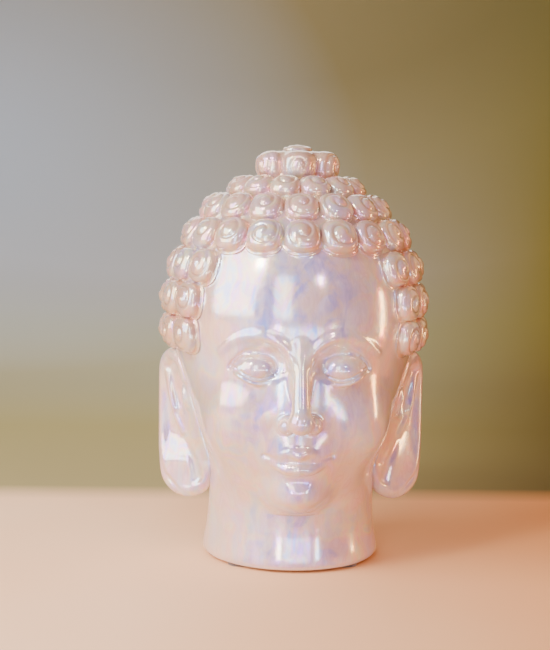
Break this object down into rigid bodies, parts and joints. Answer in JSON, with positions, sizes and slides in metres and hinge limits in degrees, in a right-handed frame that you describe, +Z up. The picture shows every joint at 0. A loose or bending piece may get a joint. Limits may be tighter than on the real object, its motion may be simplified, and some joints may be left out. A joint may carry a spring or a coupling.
{
  "type": "buddha head statue",
  "caption": "Hollow ceramic Buddha head ornament with pearl glaze, snail-shell curls, a low topknot, long ears and a flared neck that stands on felt pads.",
  "frame": {"origin": "centre of the bottom of the object's box, on the surface that its felt pads stand on", "axes": "+Z up, the face looks along -Y, +X towards the statue's left ear"},
  "size_m": [0.1062, 0.1138, 0.16],
  "materials": {
    "pearl_glaze": "gloss mother-of-pearl lustre",
    "hair_glaze": "gloss mother-of-pearl lustre, thicker in the grooves",
    "bisque": "unglazed, matt",
    "felt": "pressed felt"
  },
  "bodies": {
    "root": {"head_shell": "pearl_glaze", "neck_ring": "pearl_glaze", "base_disc": "bisque", "topknot_shell": "hair_glaze", "ear_left": "pearl_glaze", "ear_right": "pearl_glaze", "crown_curl": "hair_glaze", "topknot_curls": "hair_glaze", "curl_row_1": "hair_glaze", "curl_row_2": "hair_glaze", "curl_row_3": "hair_glaze", "curl_row_4": "hair_glaze", "curl_row_5": "hair_glaze", "curl_row_6": "hair_glaze", "curl_row_7": "hair_glaze", "curl_row_8": "hair_glaze", "curl_row_9": "hair_glaze", "curl_row_10": "hair_glaze", "felt_pad_1": "felt", "felt_pad_2": "felt", "felt_pad_3": "felt", "felt_pad_4": "felt"}
  },
  "joints": []
}
